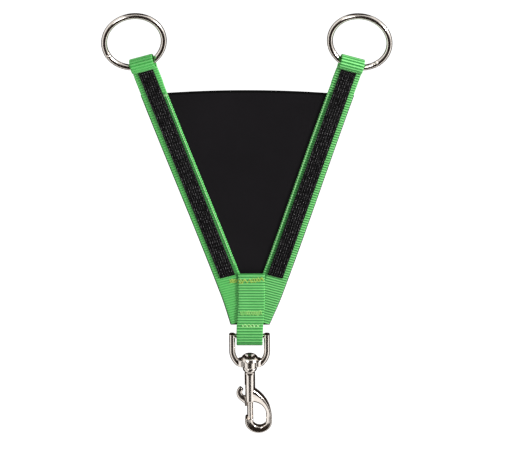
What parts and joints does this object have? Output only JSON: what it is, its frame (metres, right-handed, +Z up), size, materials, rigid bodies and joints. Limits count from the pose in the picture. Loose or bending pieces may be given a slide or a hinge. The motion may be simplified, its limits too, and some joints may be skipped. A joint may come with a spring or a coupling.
{
  "type": "martingale",
  "caption": "Bib martingale: a V of webbing straps sewn round rein rings, hook tape along each strap, a bib panel between them and a swivel bolt snap below for the girth strap.",
  "frame": {"origin": "midway between the centres of the two rein rings, in the plane where the straps' backs meet the panel", "axes": "+X to the viewer's right, the hook tape's face towards -Y, +Z up from the snap to the rings"},
  "size_m": [0.2746, 0.015, 0.4743],
  "materials": {
    "webbing": "ribbed woven nylon, soft sheen",
    "bib": "smooth coated sheet, matte",
    "hook_tape": "moulded nylon hooks on a woven base",
    "thread": "twisted nylon thread",
    "tape_thread": "twisted nylon thread",
    "nickel": "polished nickel plate",
    "spring_steel": "drawn wire"
  },
  "bodies": {
    "bib": {"bib_panel": "bib", "left_strap": "webbing", "right_strap": "webbing", "left_hook_tape": "hook_tape", "right_hook_tape": "hook_tape", "centre_strap": "webbing", "left_loop_stitching": "thread", "right_loop_stitching": "thread", "left_panel_stitching": "thread", "right_panel_stitching": "thread", "upper_junction_stitching": "thread", "middle_junction_stitching": "thread", "lower_junction_stitching": "thread", "left_tape_stitching": "tape_thread", "right_tape_stitching": "tape_thread"},
    "left_ring": {"left_ring": "nickel"},
    "right_ring": {"right_ring": "nickel"},
    "eye": {"swivel_eye": "nickel"},
    "snap": {"snap_body": "nickel", "swivel_rivet": "nickel", "bolt_spring": "spring_steel"},
    "bolt": {"bolt": "nickel", "thumb_lever": "nickel"}
  },
  "joints": [
    {"name": "left_ring_swing", "type": "hinge", "parent": "bib", "child": "left_ring", "pos_m": [-0.09791, 0, -0.02566], "axis": [0.9537, 0, 0.3007], "range_deg": [-160, 160]},
    {"name": "right_ring_swing", "type": "hinge", "parent": "bib", "child": "right_ring", "pos_m": [0.09791, 0, -0.02566], "axis": [0.9537, 0, -0.3007], "range_deg": [-160, 160]},
    {"name": "eye_swing", "type": "hinge", "parent": "bib", "child": "eye", "pos_m": [0, 0, -0.3331], "axis": [1, 0, 0], "range_deg": [-140, 140]},
    {"name": "snap_swivel", "type": "hinge", "parent": "eye", "child": "snap", "pos_m": [0, 0, -0.365], "axis": [0, 0, 1], "continuous": true},
    {"name": "bolt_slide", "type": "slide", "parent": "snap", "child": "bolt", "axis": [0, 0, 1], "range_m": [0, 0.013], "stiffness_N_per_m": 400, "springref_m": -0.008, "deforming": ["bolt_spring"]}
  ]
}
